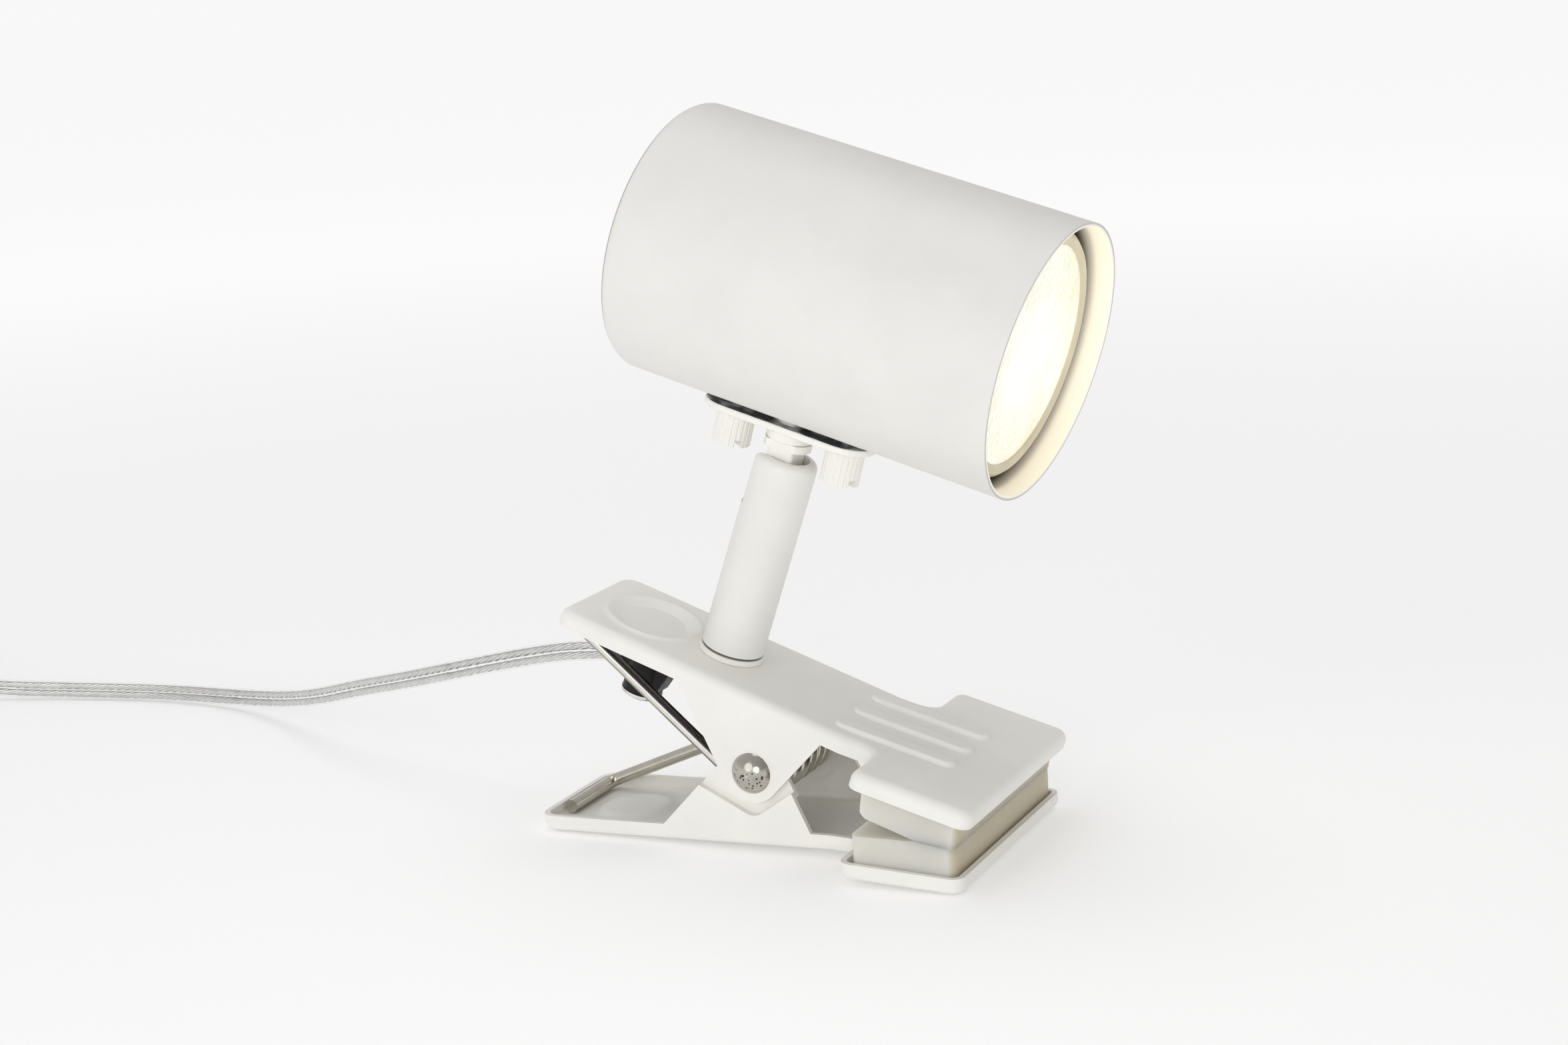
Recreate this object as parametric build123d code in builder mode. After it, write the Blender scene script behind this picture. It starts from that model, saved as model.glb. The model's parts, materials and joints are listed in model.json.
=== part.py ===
from build123d import *
import os
from math import acos, asin, atan2, cos, degrees, hypot, pi, radians, sin, tan

# Clip-on reading lamp: a sprung sheet-steel clamp carries a short stem, a knuckle joint and a
# cylindrical shade with a reflector lamp.  Millimetres, +Z up, +X towards the clamp's pads.
# The lamp stands on its lower jaw; the origin is on that surface, under the middle of the lamp.

# ---------------------------------------------------------------- driving dimensions
pivot_x = -9.8            # the jaws' pivot, along X from the origin
pivot_z = 16.85           # and above the surface that the lower jaw stands on
upper_pitch = 20.1        # the upper jaw's rear plate points down towards the pads by this angle

# pressed jaws, measured from the pivot: u forwards along the plate, n outwards from it
sheet = 1.2
plate_out = 15.7          # pivot axis to the plate's outer face
jaw_rear = 51.2
jaw_front = 50.0
jaw_width = 31.6
head_start = 24.0         # where the wide gripping head begins
head_width = 59.6
bend_at = 16.5            # the plate is cranked outwards here
bend_angle = 4.2
lip_depth = 3.55
fold_radius = 2.0
ear_radius = 6.35
ear_rear_slope = 45.0     # slope of the ear's rear edge, from the plate
ear_front_slope = 66.1
joggle = 1.5              # the lower jaw's ears step in by this much, to pass inside the upper ones
rib_at = 8.9              # middle of the three ribs, from the crank
rib_pitch = 9.5
rib_length = 27.6
rib_width = 5.2
rib_rise = 0.85
dish_at = -35.8           # thumb dish near the rear of each jaw
dish_ring = 11.6          # outside of the soft raised ring around the dish
dish_radius = 8.9
dish_floor = 5.6
dish_depth = 0.88
dish_rise = 0.42

# pivot rivet and torsion spring
rivet_radius = 3.0
rivet_head_radius = 4.3
rivet_head_height = 2.2
wire_radius = 1.4
coil_radius = 5.6
coil_half = 11.5          # half the coil's length along the pivot
coil_gap = 34.0           # the two halves' ends close up by this angle as the jaw opens
bar_at = (-47.9, 12.8)    # where each leg ends in a cross bar, in jaw coordinates (u, n)

# stem, knuckle and swivel
stem_at = -17.16          # along the upper plate
stem_radius = 6.62
stem_bottom = 17.45       # heights above the pivot, square to the upper plate
stem_top = 60.7
stem_bore = 4.7
stem_slot = 3.86          # half the width of the slot that the tongue folds back through
nipple_radius = 3.0
tilt_at = 52.0            # the cross pin's height
tilt_pin_radius = 1.23
tongue = (5.7, 7.5)       # the knuckle's tongue, along and across
head_pitch = 16.6         # the shade points down by this angle
head_turn = -3.0          # and is turned this much about the knuckle
head_rise = 44.9          # cross pin to the shade's axis
flange_radius = 4.95
flange_base = 10.6
flange_top = 12.2

# shade, bracket and lamp, measured from the knuckle's axis along the shade
shade_radius = 28.0
shade_wall = 0.8
shade_length = 85.9
shade_middle = 7.5
plate_top = -28.8         # bracket plate under the shade, below the shade's axis
plate_thickness = 1.5
plate_length = 38.4
plate_width = 13.0
nut_reach = 12.75         # each knurled nut from the knuckle's axis
nut_radius = 4.05
nut_length = 7.2
lamp_recess = 4.3         # the lamp's front ring behind the shade's rim
lamp_radius = 24.9
lens_radius = 22.2
lamp_length = 54.0

# cord, as a round tube of the flat cord's width
cord_radius = 2.2
coil_centre = (-300.0, -38.0)
coil_ring = 26.0
coil_bundle = 5.6

os.makedirs("parts", exist_ok=True)


def save(part, label):
    part.part.label = label
    export_step(part.part, f"parts/{label}.step")


# ---------------------------------------------------------------- frames
def pitched(origin, angle):
    """A plane whose x points forwards and down by angle, and whose z is square to that, upwards."""
    a = radians(angle)
    return Plane(origin=origin, x_dir=(cos(a), 0, -sin(a)), z_dir=(sin(a), 0, cos(a)))


def side(frame, y=0.0):
    """The frame's (x, z) plane at a distance y across it."""
    return Plane(origin=frame.from_local_coords((0, y, 0)), x_dir=frame.x_dir, z_dir=-frame.y_dir)


def shifted(frame, x=0.0, y=0.0, z=0.0):
    return Plane(origin=frame.from_local_coords((x, y, z)), x_dir=frame.x_dir, z_dir=frame.z_dir)


def across(frame, x=0.0, z=0.0):
    """A plane square to the frame's x axis, facing back along it, with its y along the frame's z."""
    return Plane(origin=frame.from_local_coords((x, 0, z)), x_dir=-frame.y_dir, z_dir=-frame.x_dir)


# The cranked lower jaw touches the surface at its rear fold and at its front fold.
front_run = jaw_front - bend_at - fold_radius
front_drop = front_run * sin(radians(bend_angle))
front_reach = bend_at + front_run * cos(radians(bend_angle))
lower_pitch = degrees(atan2(front_drop, front_reach + jaw_rear - fold_radius))

pivot = (pivot_x, 0, pivot_z)
upper = pitched(pivot, upper_pitch)
lower_slope = radians(lower_pitch)
lower = Plane(
    origin=pivot,
    x_dir=(cos(lower_slope), 0, sin(lower_slope)),
    z_dir=(sin(lower_slope), 0, -cos(lower_slope)),
)
profile = Plane(origin=(pivot_x, 0, 0), x_dir=(1, 0, 0), z_dir=(0, -1, 0))
pivot_axis = Axis(pivot, (0, 1, 0))
stem = shifted(upper, x=stem_at)
knuckle_frame = pitched(stem.from_local_coords((0, 0, tilt_at)), head_pitch)
head_origin = knuckle_frame.from_local_coords((0, 0, head_rise))
turn = radians(head_turn)
head = Plane(
    origin=head_origin,
    x_dir=knuckle_frame.x_dir * cos(turn) + knuckle_frame.y_dir * sin(turn),
    z_dir=knuckle_frame.z_dir,
)
shade_back = shade_middle - shade_length / 2
shade_front = shade_middle + shade_length / 2


# ---------------------------------------------------------------- pressed jaws
def crank_profile(drop, depth):
    """The jaw seen from the side: the plate's outer line, lowered by drop, and depth below it."""
    b = radians(bend_angle)
    run = 40.0
    rear_top = (-jaw_rear - 5, plate_out - drop)
    crank_top = (bend_at + drop * tan(b / 2), plate_out - drop)
    front_top = (crank_top[0] + run * cos(b), crank_top[1] + run * sin(b))
    front_low = (front_top[0] + depth * sin(b), front_top[1] - depth * cos(b))
    crank_low = (crank_top[0] + depth * tan(b / 2), crank_top[1] - depth)
    rear_low = (rear_top[0], rear_top[1] - depth)
    return [rear_top, crank_top, front_top, front_low, crank_low, rear_low]


def jaw_blank(jaw, inset, depth):
    """The jaw as a solid block with its folded edges rounded, drawn in by inset on every side."""
    with BuildPart() as blank:
        with BuildSketch(side(jaw)):
            Polygon(*crank_profile(inset, depth), align=None)
        extrude(amount=head_width, both=True)
        with BuildSketch(jaw.offset(plate_out - 12)) as plan:
            rear_length = jaw_rear + head_start + 10 - inset
            with Locations((rear_length / 2 - jaw_rear + inset, 0)):
                Rectangle(rear_length, jaw_width - 2 * inset)
            head_length = jaw_front - head_start - 2 * inset
            with Locations(((jaw_front + head_start) / 2, 0)):
                Rectangle(head_length, head_width - 2 * inset)
            corners = plan.vertices()
            neck = corners.filter_by(lambda v: abs(abs(v.Y) - jaw_width / 2 + inset) < 0.1)
            neck = neck.filter_by(lambda v: v.X > 0)
            fillet(neck, 3.5 + inset)
            fillet(plan.vertices().group_by(Axis.X)[0], 4.1 - inset)
            wide = plan.vertices().filter_by(lambda v: abs(abs(v.Y) - head_width / 2 + inset) < 0.1)
            fillet(wide, 2.8 - inset)
        extrude(amount=30, mode=Mode.INTERSECT)
        tops = blank.faces().filter_by(lambda f: f.normal_at().dot(jaw.z_dir) > 0.98)
        rim = [e for e in blank.edges() if sum(e in f.edges() for f in tops) == 1]
        fillet(rim, fold_radius - inset)
    return blank.part


def ear_outline():
    """The V-shaped ear that runs from the jaw's lip to a round end about the pivot."""
    top = plate_out - 2.1
    rear = radians(ear_rear_slope)
    front = radians(ear_front_slope)
    rear_reach = (ear_radius + top * cos(rear)) / sin(rear)
    front_reach = (ear_radius + top * cos(front)) / sin(front)
    Polygon(
        (-rear_reach, top),
        (-ear_radius * sin(rear), -ear_radius * cos(rear)),
        (ear_radius * sin(front), -ear_radius * cos(front)),
        (front_reach, top),
        align=None,
    )
    Circle(ear_radius)


def joggle_region(grow):
    """The part of the lower jaw's ear that is stepped inwards, a V with a round bottom."""
    with BuildSketch(mode=Mode.PRIVATE) as region:
        Polygon((-30, -6.2), (0, 9.6), (20, -3.6), (20, -20), (-30, -20), align=None)
        fillet(region.vertices().sort_by(Axis.Y)[-1], 3.5)
        if grow:
            offset(amount=grow)
    return region.sketch


def rivet_hole(jaw):
    with BuildSketch(side(jaw)) as hole:
        Circle(rivet_radius + 0.05)
    extrude(hole.sketch, amount=jaw_width, both=True, mode=Mode.SUBTRACT)


def thumb_dish(jaw, rise):
    """The pressed dish at the sheet's thickness: a ring that rises softly, then a flat basin."""
    rim = side(shifted(jaw, x=dish_at))
    floor = plate_out - dish_depth
    slope = [
        (dish_ring, plate_out),
        (dish_ring - 1.4, plate_out + rise),
        (dish_radius, plate_out - 0.05),
        (dish_radius - 1.5, floor + 0.16),
        (dish_floor, floor),
    ]
    with BuildPart() as dish:
        with BuildSketch(rim):
            with BuildLine():
                face = Spline(*slope, tangents=((-1, 0), (-1, 0)))
                back = Spline(*[(r, n - sheet) for r, n in slope], tangents=((-1, 0), (-1, 0)))
                Polyline(face @ 1, (0, floor), (0, floor - sheet), back @ 1)
                Line(face @ 0, back @ 0)
            make_face()
        revolve(axis=Axis(rim.origin, jaw.z_dir))
    return dish.part


def ribs(front):
    """Three low ribs with soft sides, on the cranked front of the plate."""
    with BuildPart() as pressed:
        with BuildSketch(shifted(front, x=rib_at, z=-0.08)):
            with GridLocations(1, rib_pitch, 1, 3):
                SlotOverall(rib_length, rib_width)
        extrude(amount=0.3, taper=58)
        crest_width = rib_width - 0.8
        with BuildSketch(shifted(front, x=rib_at, z=0.2)):
            with GridLocations(1, rib_pitch, 1, 3):
                SlotOverall(rib_length - 0.8, crest_width)
        extrude(amount=rib_rise - 0.2, taper=38)
        crests = pressed.faces().sort_by(lambda f: front.to_local_coords(f.center()).Z)[-3:]
        fillet([e for f in crests for e in f.edges()], 0.5)
    return pressed.part


outer_face = jaw_width / 2
inner_face = outer_face - sheet

upper_outer = jaw_blank(upper, 0, lip_depth)
upper_inner = jaw_blank(upper, sheet, lip_depth + 4)
front_hinge = upper.from_local_coords((bend_at, 0, plate_out))
upper_front = pitched(front_hinge, upper_pitch - bend_angle)

with BuildPart() as upper_jaw:
    add(upper_outer)
    add(upper_inner, mode=Mode.SUBTRACT)
    for face in (outer_face, -inner_face):
        with BuildSketch(side(upper, face)):
            ear_outline()
        extrude(amount=sheet)
    # the thumb dish takes the place of a disc of the plate
    with BuildSketch(shifted(upper, x=dish_at, z=plate_out - sheet)):
        Circle(dish_ring)
    extrude(amount=sheet, mode=Mode.SUBTRACT)
    add(thumb_dish(upper, dish_rise))
    add(ribs(upper_front))
    # holes for the stem's nipple and for the rivet
    with BuildSketch(stem):
        Circle(nipple_radius + 0.05)
    extrude(amount=30, mode=Mode.SUBTRACT)
    rivet_hole(upper)
save(upper_jaw, "upper_jaw")

lower_outer = jaw_blank(lower, 0, lip_depth)
lower_inner = jaw_blank(lower, sheet, lip_depth + 4)

with BuildPart() as lower_jaw:
    add(lower_outer)
    add(lower_inner, mode=Mode.SUBTRACT)
    for sign in (1, -1):
        # flush wall, stepped-in ear, and the step that joins them
        wall = side(lower, sign * outer_face)
        inward = sign
        with BuildSketch(wall):
            ear_outline()
            add(joggle_region(0), mode=Mode.SUBTRACT)
        extrude(amount=inward * sheet)
        with BuildSketch(side(lower, sign * (outer_face - joggle))):
            ear_outline()
            add(joggle_region(sheet), mode=Mode.INTERSECT)
        extrude(amount=inward * sheet)
        with BuildSketch(wall):
            ear_outline()
            add(joggle_region(sheet), mode=Mode.INTERSECT)
            add(joggle_region(0), mode=Mode.SUBTRACT)
        extrude(amount=inward * (joggle + sheet))
    # the same thumb dish, almost without the ring, so the jaw still stands flat
    with BuildSketch(shifted(lower, x=dish_at, z=plate_out - sheet)):
        Circle(dish_ring)
    extrude(amount=sheet, mode=Mode.SUBTRACT)
    add(thumb_dish(lower, 0.02))
    rivet_hole(lower)
save(lower_jaw, "lower_jaw")

# ---------------------------------------------------------------- pads
# The two silicone pads fill the gripping heads.  They meet over their front part and leave a
# V-shaped gap behind it, so that they close flat on a shelf edge.
pad_half_width = head_width / 2 - sheet - 0.15
pad_rear = 26.8
pad_front = 48.55
pads_meet = 40.9
meet_height = 10.05
front_meet_height = 8.95
pad_gap = 0.1


def lower_floor(x):
    """Height of the lower tray's inside floor at a distance x in front of the pivot."""
    slope = radians(bend_angle - lower_pitch)
    crank = lower.from_local_coords((bend_at, 0, plate_out - sheet))
    return crank.Z - (x - (crank.X - pivot_x)) * tan(slope) + 0.05


def upper_ceiling(x):
    """Height of the upper head's inside face at a distance x in front of the pivot."""
    crank = upper.from_local_coords((bend_at, 0, plate_out - sheet))
    return crank.Z - (x - (crank.X - pivot_x)) * tan(radians(upper_pitch - bend_angle)) - 0.05


with BuildPart() as lower_pad:
    with BuildSketch(profile):
        Polygon(
            (pad_rear, lower_floor(pad_rear)),
            (pad_rear, meet_height),
            (pads_meet, meet_height),
            (pad_front, front_meet_height),
            (pad_front, lower_floor(pad_front)),
            align=None,
        )
    extrude(amount=pad_half_width, both=True)
    uprights = lower_pad.edges().filter_by(lambda e: e.length < 9 and abs(e.tangent_at(0.5).Z) > 0.95)
    fillet(uprights, 2.0)
save(lower_pad, "lower_pad")

with BuildPart() as upper_pad:
    with BuildSketch(profile):
        Polygon(
            (29.9, upper_ceiling(29.9)),
            (28.9, 15.3),
            (30.4, 13.9),
            (pads_meet, meet_height + pad_gap),
            (pad_front, front_meet_height + pad_gap),
            (49.9, upper_ceiling(49.9)),
            align=None,
        )
    extrude(amount=pad_half_width, both=True)
    corners = upper_pad.edges().filter_by(lambda e: abs(e.tangent_at(0.5).Y) < 0.1)
    corners = corners.filter_by(lambda e: abs(e.tangent_at(0.5).Z) > 0.9)
    fillet([e for e in corners if e.length > 3], 1.2)
save(upper_pad, "upper_pad")

# ---------------------------------------------------------------- pivot rivet
dome_radius = (rivet_head_radius ** 2 + rivet_head_height ** 2) / (2 * rivet_head_height)
dome_half = degrees(asin(rivet_head_radius / dome_radius))
head_base = outer_face + 0.05
head_crown = head_base + rivet_head_height
with BuildPart() as pivot_rivet:
    with BuildSketch(Plane(origin=pivot, x_dir=(1, 0, 0), z_dir=(0, 0, 1))):
        with BuildLine():
            far = CenterArc((0, head_crown - dome_radius), dome_radius, 90 - dome_half, dome_half)
            near = CenterArc((0, dome_radius - head_crown), dome_radius, -90, dome_half)
            Polyline(near @ 1, (rivet_radius, -head_base), (rivet_radius, head_base), far @ 0)
            Line(far @ 1, near @ 0)
        make_face()
    revolve(axis=pivot_axis)
save(pivot_rivet, "pivot_rivet")

# ---------------------------------------------------------------- torsion spring
# One wire wound about the rivet, made as two halves so that each turns with the jaw that its leg
# presses on.  The cut in the middle of the coil leaves room for that turn.
bar_distance = hypot(*bar_at)
bar_angle = degrees(atan2(bar_at[1], bar_at[0]))
leg_start = bar_angle + degrees(acos(coil_radius / bar_distance))
spread = 2 * leg_start - upper_pitch - lower_pitch
half_turns = (360 * 7 - spread) / 720
coil_pitch = coil_half / half_turns
wound_half = coil_half - coil_pitch * coil_gap / 720


def spring_half(jaw):
    """Cross bar and leg as one bent wire, then the coil, which starts where the leg meets it."""
    start = radians(leg_start)
    start_direction = jaw.x_dir * cos(start) + jaw.z_dir * sin(start)
    coil_end = jaw.from_local_coords((0, -coil_half, 0))
    turn_plane = Plane(origin=coil_end, x_dir=start_direction, z_dir=jaw.y_dir)
    turns = turn_plane.location * Helix(coil_pitch, wound_half, coil_radius, lefthand=True)
    foot = coil_end + start_direction * coil_radius
    corner = jaw.from_local_coords((bar_at[0], -coil_half, bar_at[1]))
    bar_end = jaw.from_local_coords((bar_at[0], coil_half * 0.6, bar_at[1]))
    with BuildPart() as half:
        with BuildLine() as leg:
            FilletPolyline(foot, corner, bar_end, radius=2.2)
        with BuildSketch(Plane(origin=foot, z_dir=corner - foot)):
            Circle(wire_radius)
        sweep(path=leg.line)
        with Locations(foot):
            Sphere(wire_radius + 0.1)
        with BuildSketch(Plane(origin=turns @ 0, z_dir=turns % 0)):
            Circle(wire_radius)
        sweep(path=turns)
    return half


spring_lower = spring_half(lower)
save(spring_lower, "spring_lower")

with BuildPart() as spring_upper:
    add(spring_lower.part.moved(upper.location * lower.location.inverse()))
save(spring_upper, "spring_upper")


# ---------------------------------------------------------------- stem
def turned(frame, base, top, radius, bore, edge=0.0):
    """A ring on the frame's axis, between two heights, with its outer edges rounded."""
    with BuildPart() as body:
        with BuildSketch(frame.offset(base)):
            Circle(radius)
        extrude(amount=top - base)
        if edge:
            fillet(body.edges().filter_by(GeomType.CIRCLE), edge)
        with BuildSketch(frame.offset(base)):
            Circle(bore)
        extrude(amount=top - base, mode=Mode.SUBTRACT)
    return body


collar_top = plate_out + 1.25
washer_top = stem_bottom - 0.05

stem_collar = turned(stem, plate_out + 0.02, collar_top, stem_radius + 0.35, nipple_radius + 0.05, 0.25)
save(stem_collar, "stem_collar")

save(turned(stem, collar_top, washer_top, stem_radius - 0.2, nipple_radius + 0.05), "stem_washer")

with BuildPart() as stem_tube:
    with BuildSketch(stem.offset(stem_bottom)):
        Circle(stem_radius)
    extrude(amount=stem_top - stem_bottom)
    circles = stem_tube.edges().filter_by(GeomType.CIRCLE)
    fillet(circles.sort_by(lambda e: stem.to_local_coords(e.center()).Z)[-1], 1.6)
    with BuildSketch(stem.offset(stem_bottom)):
        Circle(nipple_radius + 0.06)
    extrude(amount=10, mode=Mode.SUBTRACT)
    with BuildSketch(stem.offset(stem_bottom + 3)):
        Circle(stem_bore)
    extrude(amount=60, mode=Mode.SUBTRACT)
    # the slot behind the mouth that lets the tongue fold back
    with BuildSketch(stem.offset(48.9)):
        with Locations((-5, 0)):
            Rectangle(10, 2 * stem_slot)
    extrude(amount=20, mode=Mode.SUBTRACT)
    # cross pin hole, blind at both ends
    with BuildSketch(side(stem)):
        with Locations((0, tilt_at)):
            Circle(tilt_pin_radius + 0.01)
    extrude(amount=5.7, both=True, mode=Mode.SUBTRACT)
save(stem_tube, "stem_tube")

with BuildPart() as tilt_pin:
    with BuildSketch(side(stem)):
        with Locations((0, tilt_at)):
            Circle(tilt_pin_radius)
    extrude(amount=5.65, both=True)
save(tilt_pin, "tilt_pin")

# hollow nipple that holds the stem to the plate, with its head inside the stem's foot
housing_floor = 8.0
housing_height = 5.45     # its top stays under the thumb dish
with BuildPart() as stem_nipple:
    with BuildSketch(stem.offset(5.0)):
        Circle(nipple_radius)
    extrude(amount=stem_bottom + 3.05 - 5.0)
    with BuildSketch(stem.offset(stem_bottom + 3.05)):
        Circle(4.3)
    extrude(amount=1.3)
    fillet(stem_nipple.faces().sort_by(lambda f: stem.to_local_coords(f.center()).Z)[-1].edges(), 0.4)
    with BuildSketch(stem.offset(4)):
        Circle(2.0)
    extrude(amount=30, mode=Mode.SUBTRACT)
save(stem_nipple, "stem_nipple")

save(turned(stem, housing_floor - 0.6, housing_floor - 0.02, 5.0, nipple_radius + 0.05), "nipple_washer")

with BuildPart() as nipple_nut:
    with BuildSketch(stem.offset(4.8)):
        RegularPolygon(5.0, 6)
        Circle(nipple_radius + 0.02, mode=Mode.SUBTRACT)
    extrude(amount=housing_floor - 0.62 - 4.8)
save(nipple_nut, "nipple_nut")

# ---------------------------------------------------------------- cord grip under the upper plate
grip_at = -34.2
grip_radius = 4.3
grip_foot = -0.3          # the turret's lower end, above the pivot
sleeve_reach = 6.0
sleeve_height = 8.3       # the cord's level sleeve, above the pivot at the turret

with BuildPart() as cord_grip:
    # open-topped housing for the wires, clamped by the nipple
    with BuildSketch(shifted(upper, x=-24.4, z=housing_floor)):
        RectangleRounded(26.8, 12.4, 2)
    extrude(amount=housing_height)
    with BuildSketch(shifted(upper, x=-24.4, z=housing_floor + 1.5)):
        RectangleRounded(24.4, 10, 1)
    extrude(amount=10, mode=Mode.SUBTRACT)
    with BuildSketch(stem.offset(housing_floor)):
        Circle(4.6)
    extrude(amount=plate_out - sheet - 0.03 - housing_floor)
    # turret that grips the cord, with a gusset in front and the cord's sleeve behind
    with BuildSketch(shifted(upper, x=grip_at, z=grip_foot)):
        Circle(grip_radius)
    extrude(amount=housing_floor + 1 - grip_foot)
    with BuildSketch(side(upper, 0)):
        Polygon(
            (grip_at + 3, grip_foot + 1.2),
            (grip_at + 4.3, grip_foot + 1.2),
            (grip_at + 6.8, 8.4),
            (grip_at + 3, 8.4),
            align=None,
        )
    extrude(amount=3.0, both=True)
    sleeve_frame = pitched(upper.from_local_coords((grip_at, 0, sleeve_height)), 0)
    with BuildSketch(across(sleeve_frame, x=-1)):
        Circle(2.9)
    extrude(amount=sleeve_reach - 1)
    with BuildSketch(stem.offset(4)):
        Circle(nipple_radius + 0.05)
    extrude(amount=20, mode=Mode.SUBTRACT)
    with BuildSketch(shifted(upper, x=grip_at, z=grip_foot - 1)):
        Circle(1.5)
    extrude(amount=7, mode=Mode.SUBTRACT)
save(cord_grip, "cord_grip")

cap_base = grip_foot - 1.0
with BuildPart() as grip_screw:
    with BuildSketch(shifted(upper, x=grip_at, z=cap_base)):
        Circle(4.5)
    extrude(amount=0.95)
    fillet(grip_screw.edges().sort_by(lambda e: upper.to_local_coords(e.center()).Z)[0], 0.45)
    with BuildSketch(shifted(upper, x=grip_at, z=cap_base - 0.1)):
        Rectangle(10, 1.0)
    extrude(amount=0.6, mode=Mode.SUBTRACT)
    with BuildSketch(shifted(upper, x=grip_at, z=cap_base + 0.8)):
        Circle(1.48)
    extrude(amount=5.8)
save(grip_screw, "grip_screw")

# ---------------------------------------------------------------- knuckle
with BuildPart() as knuckle:
    with BuildSketch(side(knuckle_frame)):
        with Locations((0, flange_base / 2)):
            Rectangle(tongue[0], flange_base)
        Circle(tongue[0] / 2)
    extrude(amount=tongue[1] / 2, both=True)
    up = knuckle_frame.z_dir
    uprights = knuckle.edges().filter_by(lambda e: abs(e.tangent_at(0.5).dot(up)) > 0.99)
    fillet([e for e in uprights if e.length > 5], 0.9)
    with BuildSketch(knuckle_frame.offset(flange_base)):
        Circle(flange_radius)
        Rectangle(20, tongue[1], mode=Mode.INTERSECT)
    extrude(amount=flange_top - flange_base)
    with BuildSketch(knuckle_frame.offset(flange_top)):
        Circle(3.0)
    extrude(amount=head_rise + plate_top + 2.4 - flange_top)
    # wire bore, which leaves the tongue above the cross pin
    with BuildSketch(knuckle_frame.offset(3.4)):
        Circle(1.6)
    extrude(amount=30, mode=Mode.SUBTRACT)
    with BuildSketch(knuckle_frame.offset(3.4)):
        with Locations((-2, 0)):
            Rectangle(4, 2.4)
    extrude(amount=3.0, mode=Mode.SUBTRACT)
    with BuildSketch(side(knuckle_frame)):
        Circle(tilt_pin_radius + 0.05)
    extrude(amount=10, both=True, mode=Mode.SUBTRACT)
save(knuckle, "knuckle")

bushing_top = head_rise + plate_top - plate_thickness
save(turned(knuckle_frame, flange_top + 0.05, bushing_top - 0.02, 4.75, 3.05, 0.3), "swivel_bushing")

save(turned(head, plate_top + 0.04, plate_top + 2.2, 4.6, 3.05), "swivel_nut")

# ---------------------------------------------------------------- bracket plate and its nuts
with BuildPart() as bracket_plate:
    with BuildSketch(shifted(head, x=-0.6, z=plate_top - plate_thickness)):
        SlotOverall(plate_length, plate_width)
    extrude(amount=plate_thickness)
    rims = bracket_plate.edges().filter_by(lambda e: abs(e.tangent_at(0.5).dot(head.z_dir)) < 0.1)
    fillet(rims, 0.45)
    with BuildSketch(head.offset(plate_top - plate_thickness)):
        Circle(3.05)
        with GridLocations(2 * nut_reach, 1, 2, 1):
            Circle(2.1)
    extrude(amount=plate_thickness, mode=Mode.SUBTRACT)
save(bracket_plate, "bracket_plate")

nut_top = plate_top - plate_thickness
slot_turns = {-nut_reach: -40, nut_reach: -22}
with BuildPart() as knurled_nuts:
    for reach, slot_turn in slot_turns.items():
        nut_frame = shifted(head, x=reach, z=nut_top - nut_length)
        with BuildSketch(nut_frame):
            Circle(nut_radius)
            with PolarLocations(nut_radius + 0.12, 22):
                Circle(0.32, mode=Mode.SUBTRACT)
        extrude(amount=nut_length - 0.02)
        with BuildSketch(nut_frame):
            with Locations(Location((0, 0), slot_turn)):
                Rectangle(12, 1.5)
        extrude(amount=1.5, mode=Mode.SUBTRACT)
        with BuildSketch(nut_frame.offset(2.2)):
            Circle(2.03)
        extrude(amount=nut_length, mode=Mode.SUBTRACT)
save(knurled_nuts, "knurled_nuts")

strip_base = -26.4
strip_top = -25.2
with BuildPart() as bracket_studs:
    with BuildSketch(head.offset(nut_top - 4.4)):
        with GridLocations(2 * nut_reach, 1, 2, 1):
            Circle(2.0)
    extrude(amount=strip_top + 0.1 - nut_top + 4.4)
    with BuildSketch(head.offset(strip_top + 0.03)):
        with GridLocations(2 * nut_reach, 1, 2, 1):
            Circle(3.4)
    extrude(amount=1.5)
save(bracket_studs, "bracket_studs")

# ---------------------------------------------------------------- shade
shade_axis_plane = Plane(
    origin=head.from_local_coords((shade_back, 0, 0)), x_dir=head.y_dir, z_dir=head.x_dir
)
with BuildPart() as shade:
    with BuildSketch(shade_axis_plane):
        Circle(shade_radius)
    extrude(amount=shade_length)
    fillet(shade.edges().sort_by(lambda e: head.to_local_coords(e.center()).X)[0], 2.2)
    with BuildSketch(shade_axis_plane.offset(1.0)):
        Circle(shade_radius - shade_wall)
    extrude(amount=shade_length, mode=Mode.SUBTRACT)
    with BuildSketch(head):
        Circle(5.2)
        with GridLocations(2 * nut_reach, 1, 2, 1):
            Circle(2.15)
    extrude(amount=-40, mode=Mode.SUBTRACT)
save(shade, "shade")

# ---------------------------------------------------------------- lamp holder inside the shade
lamp_front = shade_front - lamp_recess
lamp_back = lamp_front - lamp_length
holder_depth = 11.0
leg_front = lamp_back - holder_depth - 0.1

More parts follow.
